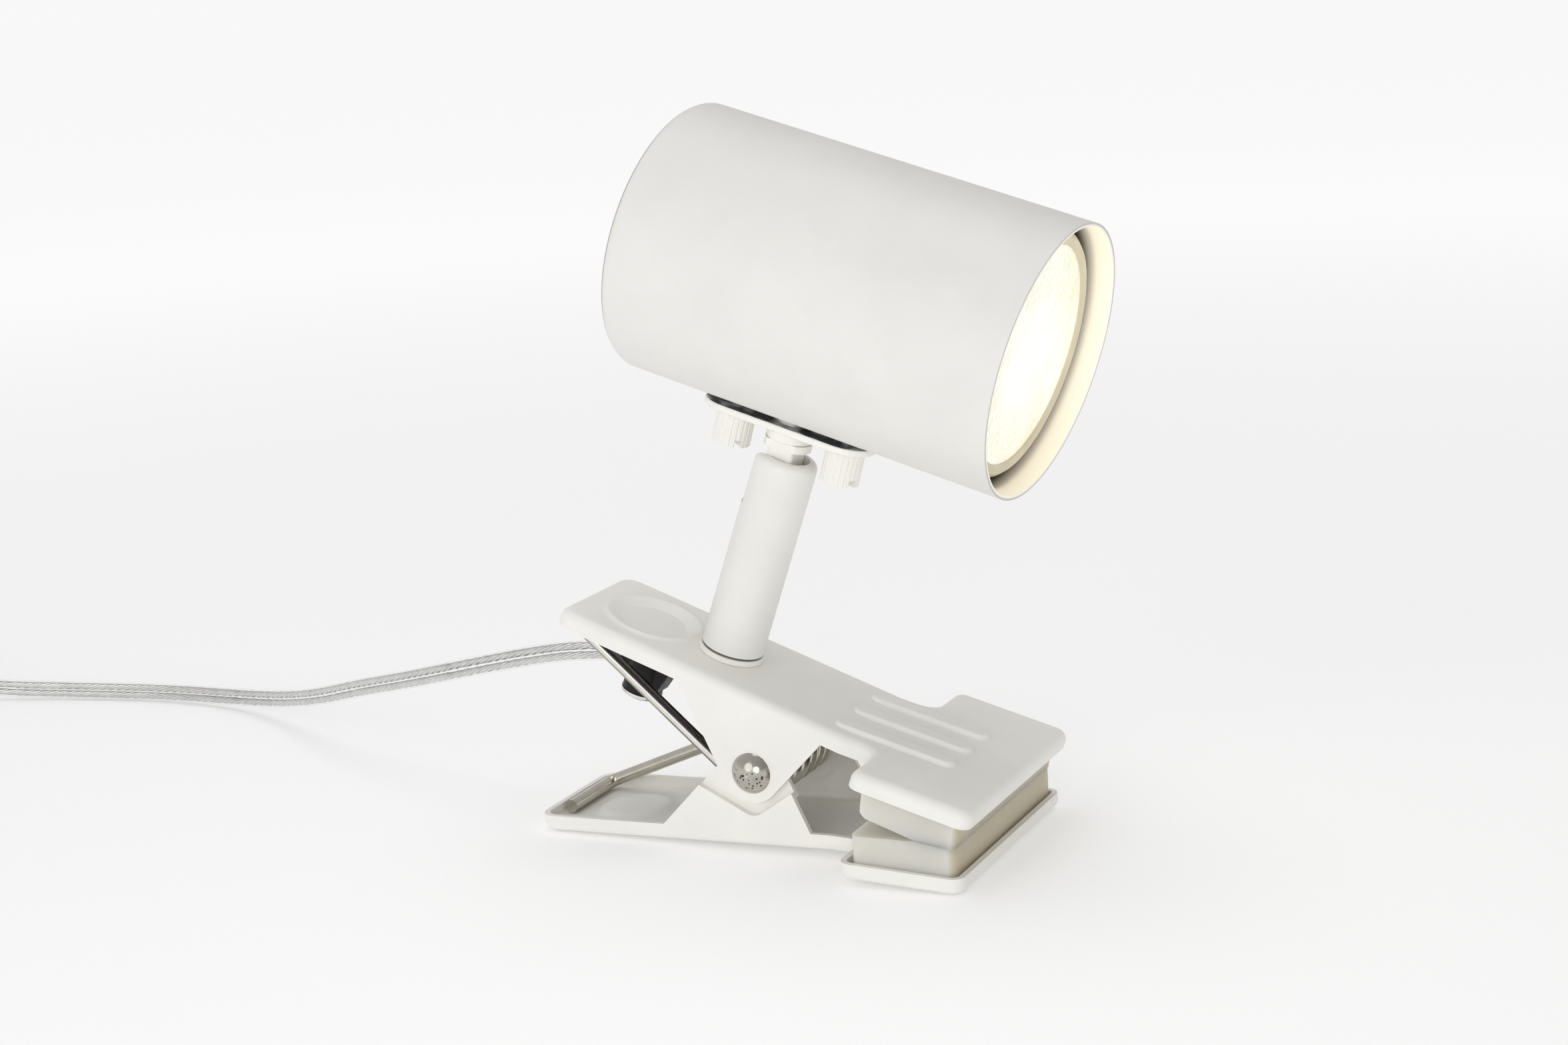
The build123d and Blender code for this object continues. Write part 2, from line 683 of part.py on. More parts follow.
with BuildPart() as holder_bracket:
    strip_length = nut_reach + 5 - leg_front
    with BuildSketch(shifted(head, x=(nut_reach + 5 + leg_front) / 2, z=strip_base)):
        Rectangle(strip_length, 11)
        with Locations((-(nut_reach + 5 + leg_front) / 2, 0)):
            Circle(3.6, mode=Mode.SUBTRACT)
            with GridLocations(2 * nut_reach, 1, 2, 1):
                Circle(2.05, mode=Mode.SUBTRACT)
    extrude(amount=strip_top - strip_base)
    with BuildSketch(across(head, x=leg_front)):
        with Locations((0, (11 + strip_base) / 2)):
            Rectangle(11, 11 - strip_base)
        with Locations((0, 6.0), (0, -6.0)):
            Circle(1.6, mode=Mode.SUBTRACT)
    extrude(amount=1.2)
save(holder_bracket, "holder_bracket")

with BuildPart() as lamp_holder:
    with BuildSketch(across(head, x=lamp_back - 0.05)):
        RectangleRounded(29, 22, 5)
        with Locations((-5, 0), (5, 0)):
            Circle(2.7, mode=Mode.SUBTRACT)
    extrude(amount=8.0)
    with BuildSketch(across(head, x=lamp_back - 8.0)):
        RectangleRounded(29, 22, 5)
    extrude(amount=holder_depth - 8.0)
    with BuildSketch(across(head, x=leg_front)):
        with Locations((0, 6.0), (0, -6.0)):
            Circle(1.5)
    extrude(amount=-6, mode=Mode.SUBTRACT)
save(lamp_holder, "lamp_holder")

with BuildPart() as holder_screws:
    for height in (6.0, -6.0):
        with BuildSketch(across(head, x=leg_front - 1.22, z=height)):
            Circle(2.8)
        extrude(amount=1.6)
        with BuildSketch(across(head, x=leg_front + 5.5, z=height)):
            Circle(1.48)
        extrude(amount=6.8)
save(holder_screws, "holder_screws")

with BuildPart() as holder_leads:
    for sign in (1, -1):
        start = head.from_local_coords((lamp_back - 5, sign * 2.6, -11.15))
        low = head.from_local_coords((lamp_back - 4, sign * 2.2, -21.0))
        last = head.from_local_coords((-1.5, sign * 1.0, -23.4))
        with BuildLine() as lead:
            FilletPolyline(start, low, last, radius=4)
        with BuildSketch(Plane(origin=start, z_dir=lead.line % 0)):
            Circle(0.85)
        sweep(path=lead.line)
save(holder_leads, "holder_leads")

# ---------------------------------------------------------------- reflector lamp
lamp_axis = Axis(head.origin, head.x_dir)
with BuildPart() as lamp_body:
    with BuildSketch(side(head)):
        with BuildLine():
            Polyline(
                (lamp_front - 2.6, 0),
                (lamp_front - 2.6, lens_radius + 0.05),
                (lamp_front, lens_radius + 0.05),
                (lamp_front, lamp_radius - 0.8),
                (lamp_front - 0.8, lamp_radius),
                (lamp_front - 4.5, lamp_radius),
            )
            Spline(
                (lamp_front - 4.5, lamp_radius),
                (lamp_front - 17, 18.2),
                (lamp_front - 30, 13.6),
                tangents=((-1, -0.25), (-1, -0.2)),
            )
            Polyline((lamp_front - 30, 13.6), (lamp_back, 12.4), (lamp_back, 0), (lamp_front - 2.6, 0))
        make_face()
    revolve(axis=lamp_axis)
save(lamp_body, "lamp_body")

lens_crown = 450.0
lens_half = degrees(asin(lens_radius / lens_crown))
with BuildPart() as lamp_lens:
    with BuildSketch(side(head)):
        with BuildLine():
            front = CenterArc((lamp_front - lens_crown, 0), lens_crown, 0, lens_half)
            Polyline(front @ 1, (lamp_front - 2.55, lens_radius), (lamp_front - 2.55, 0), front @ 0)
        make_face()
    revolve(axis=lamp_axis)
save(lamp_lens, "lamp_lens")

with BuildPart() as lamp_pins:
    for across_axis in (-5, 5):
        with BuildSketch(across(head, x=lamp_back)):
            with Locations((across_axis, 0)):
                Circle(1.5)
        extrude(amount=5.5)
        with BuildSketch(across(head, x=lamp_back - 4.5)):
            with Locations((across_axis, 0)):
                Circle(2.4)
        extrude(amount=2.5)
save(lamp_pins, "lamp_pins")

# ---------------------------------------------------------------- inline switch on the cord
switch_length = 56.0
switch_width = 21.0
switch_height = 14.5
switch_in = Vector(-281.5, 31.0, switch_height / 2)
switch_heading = radians(199)
switch_frame = Plane(
    origin=(switch_in.X + switch_length / 2 * cos(switch_heading),
            switch_in.Y + switch_length / 2 * sin(switch_heading), 0),
    x_dir=(cos(switch_heading), sin(switch_heading), 0),
    z_dir=(0, 0, 1),
)
switch_out = switch_frame.from_local_coords((switch_length / 2, 0, switch_height / 2))


def switch_outline(inset):
    """The switch seen from above: a long body with narrower round ends."""
    SlotOverall(switch_length - 2 * inset, 15 - 2 * inset)
    RectangleRounded(32 - 2 * inset, switch_width - 2 * inset, 6 - inset)


switch_split = 6.5
with BuildPart() as switch_base:
    with BuildSketch(switch_frame):
        switch_outline(0)
    extrude(amount=switch_split)
    fillet(switch_base.faces().sort_by(Axis.Z)[0].edges(), 1.2)
    with BuildSketch(switch_frame.offset(1.6)):
        RectangleRounded(28, 16, 3)
    extrude(amount=20, mode=Mode.SUBTRACT)
    with BuildSketch(switch_frame):
        with GridLocations(42, 1, 2, 1):
            Circle(1.6)
    extrude(amount=5, mode=Mode.SUBTRACT)
save(switch_base, "switch_base")

rocker_length = 16.0
rocker_width = 10.0
with BuildPart() as switch_cover:
    with BuildSketch(switch_frame.offset(switch_split + 0.02)):
        switch_outline(0)
    extrude(amount=switch_height - switch_split - 0.02)
    fillet(switch_cover.faces().sort_by(Axis.Z)[-1].edges(), 2.2)
    with BuildSketch(switch_frame.offset(switch_split)):
        RectangleRounded(28, 16, 3)
    extrude(amount=switch_height - switch_split - 1.8, mode=Mode.SUBTRACT)
    with BuildSketch(switch_frame.offset(switch_split)):
        Rectangle(rocker_length + 0.8, rocker_width + 0.8)
    extrude(amount=20, mode=Mode.SUBTRACT)
save(switch_cover, "switch_cover")

with BuildPart() as switch_screws:
    with BuildSketch(switch_frame.offset(2.5)):
        with GridLocations(42, 1, 2, 1):
            Circle(1.55)
    extrude(amount=2.4)
    with BuildSketch(switch_frame.offset(2.4)):
        with GridLocations(42, 1, 2, 1):
            Rectangle(2.2, 0.5)
    extrude(amount=0.6, mode=Mode.SUBTRACT)
save(switch_screws, "switch_screws")

rocker_axis_height = 11.2
rocker_tilt = radians(7)
with BuildPart() as switch_rocker:
    with BuildSketch(side(switch_frame)):
        with BuildLine():
            rise = rocker_length / 2 * tan(rocker_tilt)
            crest = 15.6
            Polyline(
                (-rocker_length / 2, crest + rise - 0.6),
                (-rocker_length / 2 + 0.8, 10.6),
                (0, 8.6),
                (rocker_length / 2 - 0.8, 10.6),
                (rocker_length / 2, crest - rise - 0.6),
            )
            ThreePointArc(
                (rocker_length / 2, crest - rise - 0.6),
                (0, crest - 1.0),
                (-rocker_length / 2, crest + rise - 0.6),
            )
        make_face()
    extrude(amount=rocker_width / 2, both=True)
    with BuildSketch(side(switch_frame)):
        with Locations((0, rocker_axis_height)):
            Circle(1.3)
    extrude(amount=5.8, both=True)
    fillet(switch_rocker.edges().filter_by(lambda e: e.center().Z > 13 and e.length > 9), 0.4)
save(switch_rocker, "switch_rocker")

# ---------------------------------------------------------------- plug
plug_rear = Vector(-257.0, -71.5, 6.9)
plug_frame = Plane(origin=plug_rear, x_dir=(0, 1, 0), z_dir=(1, 0, 0))
with BuildPart() as plug_body:
    with BuildSketch(plug_frame):
        Circle(3.6)
    with BuildSketch(plug_frame.offset(11)):
        RectangleRounded(22, 12.4, 4)
    with BuildSketch(plug_frame.offset(22)):
        RectangleRounded(33, 13.6, 5)
    loft()
    with BuildSketch(plug_frame.offset(22)):
        RectangleRounded(33, 13.6, 5)
    extrude(amount=14)
save(plug_body, "plug_body")

with BuildPart() as plug_pins:
    for reach in (-9.3, 9.3):
        with BuildSketch(plug_frame.offset(36)):
            with Locations((reach, 0)):
                Circle(2.0)
        extrude(amount=19)
    tips = plug_pins.edges().sort_by(Axis.X)[-2:]
    fillet(tips, 1.5)
save(plug_pins, "plug_pins")


# ---------------------------------------------------------------- cord
def corner_radii(points):
    """For each inner point, the largest arc that its two runs leave room for."""
    radii = []
    for before, here, after in zip(points, points[1:], points[2:]):
        arriving = Vector(here) - Vector(before)
        leaving = Vector(after) - Vector(here)
        half_turn = radians(arriving.get_angle(leaving)) / 2
        radii.append(0.45 * min(arriving.length, leaving.length) / tan(half_turn))
    return radii


def cord_tube(label, points):
    radii = corner_radii(points)
    with BuildPart() as tube:
        with BuildLine() as route:
            FilletPolyline(*points, radius=radii)
        with BuildSketch(Plane(origin=route.line @ 0, z_dir=route.line % 0)):
            Circle(cord_radius)
        sweep(path=route.line)
    print(label, "length", round(route.wires()[0].length, 1), "radii", [round(r) for r in radii])
    save(tube, label)


cord_exit = across(sleeve_frame, x=-sleeve_reach).origin
lead_points = [
    (cord_exit.X, cord_exit.Y, cord_exit.Z),
    (-56.2, 0.2, 36.0),
    (-70.5, 2.2, 33.1),
    (-88.4, 7, 28.2),
    (-108.6, 14, 22.2),
    (-129.5, 22, 16.4),
    (-147.0, 31, 10.6),
    (-164.0, 41, 6.0),
    (-183.0, 49, 3.0),
    (-206.0, 51, 2.25),
    (-231.0, 47, 2.25),
    (-254.0, 41, 2.8),
    (-268.0, 35.6, 5.6),
    (switch_in.X, switch_in.Y, switch_in.Z),
]
link_points = [
    (switch_out.X, switch_out.Y, switch_out.Z),
    (-346.5, 8.6, 6.0),
    (-357.0, 0.5, 3.4),
    (-364.0, -13.0, 2.25),
    (-364.5, -29.0, 2.25),
    (-359.0, -44.0, 2.25),
    (-348.0, -56.0, 2.3),
    (-334.5, -63.5, 2.6),
    (-320.5, -67.0, 3.0),
    (-307.0, -67.6, 3.8),
]
tail_points = [
    (-295.0, -67.6, 6.0),
    (-285.5, -69.0, 4.4),
    (-276.0, -71.0, 4.2),
    (-266.5, -71.9, 5.6),
    (plug_rear.X, plug_rear.Y, plug_rear.Z),
]
cord_tube("cord_lead", lead_points)
cord_tube("cord_link", link_points)
cord_tube("cord_tail", tail_points)

with BuildPart() as cord_coil:
    with Locations((coil_centre[0], coil_centre[1], coil_bundle)):
        Torus(coil_ring, coil_bundle)
save(cord_coil, "cord_coil")
print("pivot", pivot, "stem foot", stem.origin, "cross pin", knuckle_frame.origin)
print("stem axis", stem.z_dir, "turn axis", knuckle_frame.z_dir, "shade axis", head.x_dir)
print("rocker", switch_frame.from_local_coords((0, 0, rocker_axis_height)), "axis", switch_frame.y_dir)
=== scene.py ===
import json
import math

import bmesh
import bpy
from mathutils import Matrix, Vector


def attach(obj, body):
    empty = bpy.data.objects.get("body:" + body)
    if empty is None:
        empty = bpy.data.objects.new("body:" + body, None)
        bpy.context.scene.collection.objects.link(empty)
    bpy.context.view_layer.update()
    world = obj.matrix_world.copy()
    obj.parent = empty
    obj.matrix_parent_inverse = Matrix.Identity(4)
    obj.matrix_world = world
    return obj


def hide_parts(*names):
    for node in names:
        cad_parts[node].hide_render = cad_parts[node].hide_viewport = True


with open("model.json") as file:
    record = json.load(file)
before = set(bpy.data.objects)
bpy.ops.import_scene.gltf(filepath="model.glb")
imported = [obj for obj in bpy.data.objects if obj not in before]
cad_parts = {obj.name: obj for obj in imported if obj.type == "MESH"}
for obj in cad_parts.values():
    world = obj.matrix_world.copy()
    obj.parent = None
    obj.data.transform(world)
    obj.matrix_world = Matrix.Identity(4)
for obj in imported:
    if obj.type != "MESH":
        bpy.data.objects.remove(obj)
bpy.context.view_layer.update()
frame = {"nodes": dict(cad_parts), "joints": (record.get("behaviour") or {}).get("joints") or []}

# The looks of the clip-on reading lamp.  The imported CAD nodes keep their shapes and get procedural
# materials.  The flat twin cord is a mesh made here, and stands for the CAD's round one.
# Metres throughout, in the CAD's frame; MM turns millimetres into metres.

MM = 0.001
nodes = frame["nodes"]
scene = bpy.context.scene

# ---------------------------------------------------------------- camera
CAMERA_AT = Vector((0.22874, -0.500797, 0.1842))
CAMERA_AZIMUTH = math.radians(25.183)
CAMERA_ELEVATION = math.radians(12.075)
CAMERA_ROLL = math.radians(-3.114)
CAMERA_LENS = 63.585
SENSOR_WIDTH = 36.0
NEAREST_SEEN = 0.02


def camera_matrix():
    """The camera looks along the azimuth and down by the elevation, then rolls about its view."""
    ahead = Vector((
        -math.sin(CAMERA_AZIMUTH) * math.cos(CAMERA_ELEVATION),
        math.cos(CAMERA_AZIMUTH) * math.cos(CAMERA_ELEVATION),
        -math.sin(CAMERA_ELEVATION),
    ))
    level = Vector((math.cos(CAMERA_AZIMUTH), math.sin(CAMERA_AZIMUTH), 0))
    above = level.cross(ahead)
    right = level * math.cos(CAMERA_ROLL) + above * math.sin(CAMERA_ROLL)
    up = right.cross(ahead)
    turn = Matrix((right, up, -ahead)).transposed()
    return Matrix.Translation(CAMERA_AT) @ turn.to_4x4()


camera_data = bpy.data.cameras.new("camera")
camera_data.lens = CAMERA_LENS
camera_data.sensor_width = SENSOR_WIDTH
camera_data.clip_start = NEAREST_SEEN
camera = bpy.data.objects.new("camera", camera_data)
scene.collection.objects.link(camera)
camera.matrix_world = camera_matrix()
scene.camera = camera


# ---------------------------------------------------------------- nodes that materials are made of
# The Mix node has sockets of the same name for numbers and for colours, so they go by their place.
MIX_FACTOR = 0
MIX_NUMBERS = (2, 3)
MIX_NUMBER = 0
MIX_COLOURS = (6, 7)
MIX_COLOUR = 2


def new_material(name):
    """A node material with its tree and its Principled shader at hand."""
    material = bpy.data.materials.new(name)
    material.use_nodes = True
    return material, material.node_tree, shader_of(material)


def shader_of(material):
    return material.node_tree.nodes["Principled BSDF"]


def add_node(tree, kind, **values):
    """A new node with these properties."""
    node = tree.nodes.new(kind)
    for key, value in values.items():
        setattr(node, key, value)
    return node


def set_inputs(node, values):
    """Give inputs of a node their constants."""
    for socket, value in values.items():
        node.inputs[socket].default_value = value


def drive(node, socket, source):
    """Let a source feed one input of a node."""
    node.id_data.links.new(source, node.inputs[socket])


def object_position(tree):
    """Where a point is in its object's own coordinates."""
    return add_node(tree, "ShaderNodeTexCoord").outputs["Object"]


def noise(tree, scale, detail=3.0, roughness=0.55):
    """Noise that stays with the object."""
    texture = add_node(tree, "ShaderNodeTexNoise")
    set_inputs(texture, {"Scale": scale, "Detail": detail, "Roughness": roughness})
    drive(texture, "Vector", object_position(tree))
    return texture.outputs["Fac"]


def cells(tree, scale, position):
    """How far a point is from the middle of its Voronoi cell."""
    texture = add_node(tree, "ShaderNodeTexVoronoi")
    set_inputs(texture, {"Scale": scale})
    drive(texture, "Vector", position)
    return texture.outputs["Distance"]


def ramp(tree, factor, low, high, start=0.35, end=0.65):
    """Colours or greys that run from low to high as factor goes from start to end."""
    node = add_node(tree, "ShaderNodeValToRGB")
    for element, value, place in zip(node.color_ramp.elements, (low, high), (start, end)):
        element.position = place
        element.color = (*value, 1) if isinstance(value, tuple) else (value, value, value, 1)
    drive(node, "Fac", factor)
    return node.outputs["Color"]


def rise(tree, value, start, end):
    """A mask that goes from 0 to 1 as the value goes from start to end."""
    node = add_node(tree, "ShaderNodeMapRange", interpolation_type="SMOOTHSTEP")
    set_inputs(node, {"From Min": start, "From Max": end})
    drive(node, "Value", value)
    return node.outputs["Result"]


def combined(tree, first, second, blend="MIX", factor=1.0):
    """Two colours or sockets in one colour: blended by a factor, or by a blend mode."""
    node = add_node(tree, "ShaderNodeMix", data_type="RGBA", blend_type=blend)
    if isinstance(factor, float):
        node.inputs[MIX_FACTOR].default_value = factor
    else:
        drive(node, MIX_FACTOR, factor)
    for socket, value in zip(MIX_COLOURS, (first, second)):
        if isinstance(value, tuple):
            node.inputs[socket].default_value = (*value, 1)
        else:
            drive(node, socket, value)
    return node.outputs[MIX_COLOUR]


def scalar_math(tree, operation, *values):
    """A calculation of sockets and constants."""
    node = add_node(tree, "ShaderNodeMath", operation=operation)
    for socket, value in enumerate(values):
        if isinstance(value, float):
            node.inputs[socket].default_value = value
        else:
            drive(node, socket, value)
    return node.outputs["Value"]


def vector_math(tree, operation, first, second=(0, 0, 0)):
    """A calculation of one vector socket and one constant vector."""
    node = add_node(tree, "ShaderNodeVectorMath", operation=operation)
    drive(node, 0, first)
    node.inputs[1].default_value = second
    return node.outputs["Value" if operation in ("DOT_PRODUCT", "LENGTH") else "Vector"]


def object_offset(tree, origin):
    """Where a point is from an origin."""
    return vector_math(tree, "SUBTRACT", object_position(tree), origin)


def facing(tree, direction):
    """How squarely the surface faces a fixed direction, from -1 to 1."""
    normal = add_node(tree, "ShaderNodeNewGeometry").outputs["Normal"]
    return vector_math(tree, "DOT_PRODUCT", normal, direction)


def bump(tree, shader, height, strength, distance):
    """Fine relief that is too small for the mesh."""
    node = add_node(tree, "ShaderNodeBump")
    set_inputs(node, {"Strength": strength, "Distance": distance})
    drive(node, "Height", height)
    drive(shader, "Normal", node.outputs["Normal"])


def recolour(material, factor, colour):
    """Blend the material's colour towards another where factor is 1."""
    shader = shader_of(material)
    before = shader.inputs["Base Color"].links[0].from_socket
    drive(shader, "Base Color", combined(material.node_tree, before, colour, factor=factor))


# ---------------------------------------------------------------- kinds of surface
def scaled(colour, factor):
    return tuple(min(1.0, c * factor) for c in colour)


def painted(name, colour, roughness):
    """Powder paint: a fine orange-peel skin and a faint drift of colour and gloss."""
    material, tree, shader = new_material(name)
    drive(shader, "Base Color", ramp(tree, noise(tree, 60, 4), scaled(colour, 0.98), scaled(colour, 1.02)))
    drive(shader, "Roughness", ramp(tree, noise(tree, 240, 2), roughness - 0.04, roughness + 0.05))
    bump(tree, shader, noise(tree, 1300, 2, 0.5), strength=0.10, distance=0.12 * MM)
    set_inputs(shader, {"Specular IOR Level": 0.45})
    return material


def pitted(tree, colour, pits):
    """The colour with dark pits, wider for a larger pits, where a coarse noise is high."""
    from_middle = cells(tree, 1100, object_position(tree))
    pitting = ramp(tree, from_middle, (0.08, 0.07, 0.06), 1.0, start=pits, end=pits + 0.06)
    whole = ramp(tree, noise(tree, 260, 1), 1.0, 0.0, start=0.5, end=0.58)
    return combined(tree, colour, combined(tree, pitting, whole, "LIGHTEN"), "MULTIPLY")


def metal(name, colour, roughness, pits=0.0):
    """Plated metal with a fine drawn grain and, where asked, small dark pits."""
    material, tree, shader = new_material(name)
    set_inputs(shader, {"Metallic": 1.0})
    plating = ramp(tree, noise(tree, 420, 5), scaled(colour, 0.88), colour)
    drive(shader, "Base Color", pitted(tree, plating, pits) if pits else plating)
    drive(shader, "Roughness", ramp(tree, noise(tree, 700, 3), roughness * 0.8, roughness * 1.25))
    bump(tree, shader, noise(tree, 2200, 2), strength=0.05, distance=0.05 * MM)
    return material


def plastic(name, colour, roughness, grain=900, depth=0.08 * MM):
    """Moulded plastic, ceramic or braid, by the fineness and depth of its grain."""
    material, tree, shader = new_material(name)
    drive(shader, "Base Color", ramp(tree, noise(tree, 150, 4), scaled(colour, 0.9), colour))
    drive(shader, "Roughness", ramp(tree, noise(tree, 400, 2), roughness - 0.05, roughness + 0.06))
    bump(tree, shader, noise(tree, grain, 3), strength=0.12, distance=depth)
    return material


def clear(name, colour, roughness, transmission, ior=1.5):
    """Clear or milky plastic."""
    material, tree, shader = new_material(name)
    drive(shader, "Base Color", ramp(tree, noise(tree, 90, 3), scaled(colour, 0.94), colour))
    drive(shader, "Roughness", ramp(tree, noise(tree, 500, 2), roughness * 0.8, roughness * 1.2))
    set_inputs(shader, {"Transmission Weight": transmission, "IOR": ior})
    bump(tree, shader, noise(tree, 350, 2), strength=0.06, distance=0.2 * MM)
    return material


# ---------------------------------------------------------------- cord: where it runs
# A flat clear cord with two stranded cores, which lies on its edge.  Its route is the CAD's, in
# millimetres: from the grip to the switch, through it, on to the coil, and from there to the plug.
CORD_WIDTH = 4.4 * MM
CORD_THICKNESS = 2.4 * MM
LEAD = [
    (-45.1, 0, 36.4),
    (-56.2, 0.2, 36.0),
    (-70.5, 2.2, 33.1),
    (-88.4, 7, 28.2),
    (-108.6, 14, 22.2),
    (-129.5, 22, 16.4),
    (-147.0, 31, 10.6),
    (-164.0, 41, 6.0),
    (-183.0, 49, 3.0),
    (-206.0, 51, 2.25),
    (-231.0, 47, 2.25),
    (-254.0, 41, 2.8),
    (-268.0, 35.6, 5.6),
    (-281.5, 31.0, 7.25),
]
# It dips inside the switch, under the rocker.
SWITCH = [
    (-287.2, 29.0, 7.25),
    (-295.7, 26.1, 5.4),
    (-320.3, 17.7, 5.4),
    (-328.8, 14.7, 7.25),
]
LINK = [
    (-334.4, 12.8, 7.25),
    (-346.5, 8.6, 6.0),
    (-357.0, 0.5, 3.4),
    (-364.0, -13.0, 2.25),
    (-364.5, -29.0, 2.25),
    (-359.0, -44.0, 2.25),
    (-348.0, -56.0, 2.3),
    (-334.5, -63.5, 2.3),
    (-320.5, -67.6, 2.3),
]
TAIL = [
    (-285.5, -69.6, 4.4),
    (-276.0, -71.0, 3.6),
    (-266.5, -71.9, 5.6),
    (-257.0, -71.5, 6.9),
]
COIL_MIDDLE = Vector((-300.0, -38.0, 0.0))
COIL_START = -100
# Each turn of the coil: its radius and its height.  Four turns on the floor, four on top of them.
COIL_TURNS = [
    (30.4, 2.3), (27.3, 2.3), (24.3, 2.3), (21.4, 2.3), (21.6, 6.8), (24.5, 6.9), (27.5, 6.8), (30.3, 6.7),
]
POINTS_PER_TURN = 12
PASS_OVER_FROM = 0.55
# The turns waver in and out: by how many millimetres, and how fast from one point to the next.
COIL_WAVERS = [(0.25, 1.7), (0.2, 0.61)]


def coil_points():
    """Control points of the coil's turns, which pass from one radius to the next near their end."""
    points = []
    for step in range(len(COIL_TURNS) * POINTS_PER_TURN + 1):  # one more closes the last turn
        turn = min(step // POINTS_PER_TURN, len(COIL_TURNS) - 1)
        along = step / POINTS_PER_TURN - turn
        radius, height = COIL_TURNS[turn]
        if turn + 1 < len(COIL_TURNS):
            ease = max(0.0, (along - PASS_OVER_FROM) / (1 - PASS_OVER_FROM))
            ease = ease * ease * (3 - 2 * ease)
            radius += (COIL_TURNS[turn + 1][0] - radius) * ease
            height += (COIL_TURNS[turn + 1][1] - height) * ease
        radius += sum(reach * math.sin(step * pace) for reach, pace in COIL_WAVERS)
        # the curve runs inside its control points by this much
        radius /= math.cos(math.pi / POINTS_PER_TURN)
        angle = math.radians(COIL_START + 360 * step / POINTS_PER_TURN)
        points.append((
            COIL_MIDDLE.x + radius * math.cos(angle),
            COIL_MIDDLE.y + radius * math.sin(angle),
            height,
        ))
    return points


LINE_POINTS_PER_SPAN = 12
SAME_POINT = 1e-6


def spline_line(points):
    """Evenly flowing points, in metres, along a NURBS spline with these control points."""
    curve = bpy.data.curves.new("cord_line", "CURVE")
    curve.dimensions = "3D"
    curve.resolution_u = LINE_POINTS_PER_SPAN
    spline = curve.splines.new("NURBS")
    spline.points.add(len(points) - 1)
    for target, point in zip(spline.points, points):
        target.co = (*(c * MM for c in point), 1)
    spline.order_u = 3
    spline.use_endpoint_u = True
    carrier = bpy.data.objects.new("cord_line", curve)
    mesh = bpy.data.meshes.new_from_object(carrier)
    line = [v.co.copy() for v in mesh.vertices]
    bpy.data.objects.remove(carrier)
    bpy.data.meshes.remove(mesh)
    return line


def even(line, step):
    """The same line with its points at least a step apart."""
    kept = [line[0]]
    travelled = 0.0
    for before, here in zip(line, line[1:]):
        travelled += (here - before).length
        if travelled >= step:
            kept.append(here)
            travelled = 0.0
    if (kept[-1] - line[-1]).length > SAME_POINT:
        kept.append(line[-1])
    return kept


# ---------------------------------------------------------------- cord: its section
SECTION_STEP = 1.8 * MM
JACKET_CORNERS = 24
GROOVE_DEPTH = 0.22       # as a part of the lobes' radius
GROOVE_WIDTH = 0.35
STRANDS = 9
STRAND_CORNERS = 4
STRAND_LAY = 21 * MM      # the length of one full twist
STRAND_VALLEY = 0.58 * MM
STRAND_HEIGHT = 0.28 * MM
# The cord leans most at the grip, less and less further on, and the other way round one place.
GRIP_LEAN = math.radians(24)
GRIP_LEAN_FADES = 60 * MM
COUNTER_LEAN = math.radians(14)
COUNTER_LEAN_AT = 100 * MM
COUNTER_LEAN_SPREAD = 50 * MM


def cord_lean(distance):
    """The cord leans one way as it leaves the grip, then a little the other way."""
    at_grip = GRIP_LEAN * math.exp(-distance / GRIP_LEAN_FADES)
    from_peak = (distance - COUNTER_LEAN_AT) / COUNTER_LEAN_SPREAD
    return at_grip - COUNTER_LEAN * math.exp(-from_peak ** 2)


def frames_along(line):
    """For each point: the point, the cord's wide direction and its thin one, and the arc length."""
    frames = []
    distance = 0.0
    upright = Vector((0, 0, 1))
    for index, here in enumerate(line):
        before = line[max(index - 1, 0)]
        after = line[min(index + 1, len(line) - 1)]
        if index:
            distance += (here - before).length
        ahead = (after - before).normalized()
        wide = (upright - ahead * upright.dot(ahead)).normalized()
        wide.rotate(Matrix.Rotation(cord_lean(distance), 3, ahead))
        frames.append((here, wide, wide.cross(ahead), distance))
    return frames


def tube_mesh(name, frames, section):
    """A closed tube through the frames; section(distance) gives its outline as (wide, thin) pairs."""
    mesh = bpy.data.meshes.new(name)
    shape = bmesh.new()
    rings = []
    for here, wide, thin, distance in frames:
        rings.append([shape.verts.new(here + wide * a + thin * b) for a, b in section(distance)])
    count = len(rings[0])
    for before, after in zip(rings, rings[1:]):
        for k in range(count):
            shape.faces.new((before[k], before[(k + 1) % count], after[(k + 1) % count], after[k]))
    shape.faces.new(list(reversed(rings[0])))
    shape.faces.new(rings[-1])
    bmesh.ops.recalc_face_normals(shape, faces=shape.faces)
    for face in shape.faces:
        face.smooth = True
    shape.to_mesh(mesh)
    shape.free()
    piece = bpy.data.objects.new(name, mesh)
    scene.collection.objects.link(piece)
    return piece


def jacket_outline(distance):
    """Two round lobes side by side with a shallow groove between them, the same all along."""
    outline = []
    lobe = CORD_THICKNESS / 2
    reach = CORD_WIDTH / 2 - lobe
    for k in range(JACKET_CORNERS):
        angle = 2 * math.pi * k / JACKET_CORNERS
        side = 1 if math.cos(angle) >= 0 else -1
        groove = 1 - GROOVE_DEPTH * max(0.0, 1 - abs(math.cos(angle)) / GROOVE_WIDTH)
        outline.append((side * reach + lobe * math.cos(angle), lobe * math.sin(angle) * groove))
    return outline


